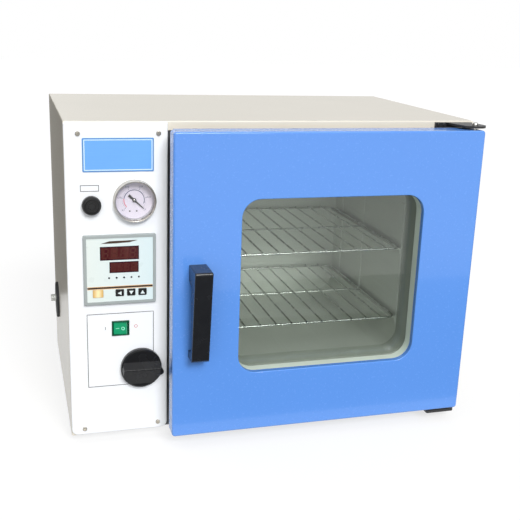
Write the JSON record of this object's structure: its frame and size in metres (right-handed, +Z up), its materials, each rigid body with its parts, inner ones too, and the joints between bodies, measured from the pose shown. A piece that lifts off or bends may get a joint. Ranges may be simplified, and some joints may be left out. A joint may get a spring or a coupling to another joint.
{
  "type": "vacuum drying oven",
  "caption": "Bench vacuum drying oven: sealed stainless chamber with wire shelves behind a hinged, windowed door, with gauge, temperature controller, power rocker, valve knob and air bleed.",
  "frame": {"origin": "middle of the footprint, on the surface that the feet stand on", "axes": "+X to the right seen from the front, +Y into the cabinet (the door faces -Y), +Z up"},
  "size_m": [0.592, 0.46, 0.4518],
  "materials": {
    "casing_paint": "fine textured powder coat, satin",
    "panel_paint": "smooth white powder coat, semi-gloss",
    "door_paint": "smooth blue powder coat, semi-gloss",
    "rear_paint": "fine textured powder coat, satin",
    "frame_paint": "dark powder coat, satin",
    "stainless": "2B rolled stainless, lightly brushed",
    "galvanised": "zinc-coated sheet, satin",
    "screw_steel": "zinc-plated, satin",
    "wire_steel": "bright electropolished wire",
    "chrome": "polished",
    "hinge_black": "black coated steel, satin",
    "black_plastic": "moulded, satin",
    "handle_plastic": "moulded nylon, satin",
    "rubber_black": "moulded, matt",
    "silicone_grey": "silicone, matt",
    "glass": "clear tempered pane, polished",
    "lens_glass": "clear, polished",
    "spacer_mint": "moulded silicone-faced spacer, satin",
    "brass": "machined",
    "copper": "drawn tube, slightly dull",
    "ctrl_grey": "moulded, fine texture",
    "ctrl_face": "polycarbonate overlay, satin",
    "ctrl_black": "moulded, matt",
    "display_red": "tinted clear, glossy",
    "lamp_dark": "tinted clear",
    "key_orange": "moulded, satin",
    "key_black": "moulded, satin",
    "board_green": "glass-fibre laminate",
    "rocker_green": "translucent, glossy",
    "switch_black": "moulded, glossy",
    "dial_white": "matt white enamel",
    "pointer_black": "matt black",
    "plate_blue": "anodised, satin",
    "wool": "loose fibre blanket",
    "heater": "foil-faced heater plate",
    "magnet": "plated"
  },
  "bodies": {
    "cabinet": {"base_plate": "galvanised", "bleed_valve_body": "brass", "chamber": "stainless", "control_panel": "panel_paint", "controller_bezel": "ctrl_grey", "controller_board": "board_green", "controller_face": "ctrl_face", "controller_housing": "ctrl_black", "display_windows": "display_red", "door_magnet": "magnet", "door_seal": "silicone_grey", "feet": "rubber_black", "foot_screws": "screw_steel", "frame_screws": "hinge_black", "front_frame": "frame_paint", "gauge_bezel": "chrome", "gauge_case": "galvanised", "gauge_dial": "dial_white", "gauge_lens": "lens_glass", "gauge_movement": "brass", "heater_plates": "heater", "hinge_brackets": "hinge_black", "hinge_pins": "chrome", "indicator_lamps": "lamp_dark", "insulation": "wool", "nameplate": "plate_blue", "outer_casing": "casing_paint", "panel_screws": "screw_steel", "partition": "galvanised", "port_grommet": "rubber_black", "power_gland": "black_plastic", "rear_panel": "rear_paint", "rear_screws": "screw_steel", "shelf_racks": "stainless", "solid_state_relay": "ctrl_black", "switch_housing": "switch_black", "temperature_sensor": "stainless", "terminal_block": "black_plastic", "vacuum_nozzle": "stainless", "vacuum_pipes": "copper", "valve_body": "brass"},
    "door": {"door_shell": "door_paint", "door_inner_panel": "stainless", "window_spacer": "spacer_mint", "window_glass": "glass", "door_handle": "handle_plastic", "handle_screws": "screw_steel", "hinge_blocks": "galvanised"},
    "vacuum_knob": {"valve_knob": "black_plastic", "valve_ball": "chrome"},
    "air_bleed": {"bleed_plug": "rubber_black"},
    "needle": {"gauge_pointer": "pointer_black"},
    "rocker": {"power_rocker": "rocker_green"},
    "set_key": {"key_set": "key_orange"},
    "left_key": {"key_left": "key_black"},
    "down_key": {"key_down": "key_black"},
    "up_key": {"key_up": "key_black"},
    "upper_shelf": {"shelf_upper": "wire_steel"},
    "lower_shelf": {"shelf_lower": "wire_steel"}
  },
  "joints": [
    {"name": "door_hinge", "type": "hinge", "parent": "cabinet", "child": "door", "pos_m": [0.28, -0.171, 0.232], "axis": [0, 0, 1], "range_deg": [0, 120]},
    {"name": "valve_turn", "type": "hinge", "parent": "cabinet", "child": "vacuum_knob", "pos_m": [-0.1874, -0.142, 0.1098], "axis": [0, 1, 0], "range_deg": [0, 90]},
    {"name": "bleed_turn", "type": "hinge", "parent": "cabinet", "child": "air_bleed", "pos_m": [-0.2508, -0.142, 0.342], "axis": [0, -1, 0], "range_deg": [0, 90]},
    {"name": "gauge_needle", "type": "hinge", "parent": "cabinet", "child": "needle", "pos_m": [-0.1945, -0.142, 0.3462], "axis": [0, -1, 0], "range_deg": [0, 266], "stiffness_Nm_per_rad": 0.0005},
    {"name": "rocker_tilt", "type": "hinge", "parent": "cabinet", "child": "rocker", "pos_m": [-0.2149, -0.1395, 0.169], "axis": [0, 0, 1], "range_deg": [0, 20]},
    {"name": "set_key_press", "type": "slide", "parent": "cabinet", "child": "set_key", "axis": [0, 1, 0], "range_m": [0, 0.0005], "stiffness_N_per_m": 400},
    {"name": "left_key_press", "type": "slide", "parent": "cabinet", "child": "left_key", "axis": [0, 1, 0], "range_m": [0, 0.0005], "stiffness_N_per_m": 400},
    {"name": "down_key_press", "type": "slide", "parent": "cabinet", "child": "down_key", "axis": [0, 1, 0], "range_m": [0, 0.0005], "stiffness_N_per_m": 400},
    {"name": "up_key_press", "type": "slide", "parent": "cabinet", "child": "up_key", "axis": [0, 1, 0], "range_m": [0, 0.0005], "stiffness_N_per_m": 400},
    {"name": "upper_shelf_slide", "type": "slide", "parent": "cabinet", "child": "upper_shelf", "axis": [0, -1, 0], "range_m": [0, 0.024]},
    {"name": "lower_shelf_slide", "type": "slide", "parent": "cabinet", "child": "lower_shelf", "axis": [0, -1, 0], "range_m": [0, 0.024]}
  ]
}
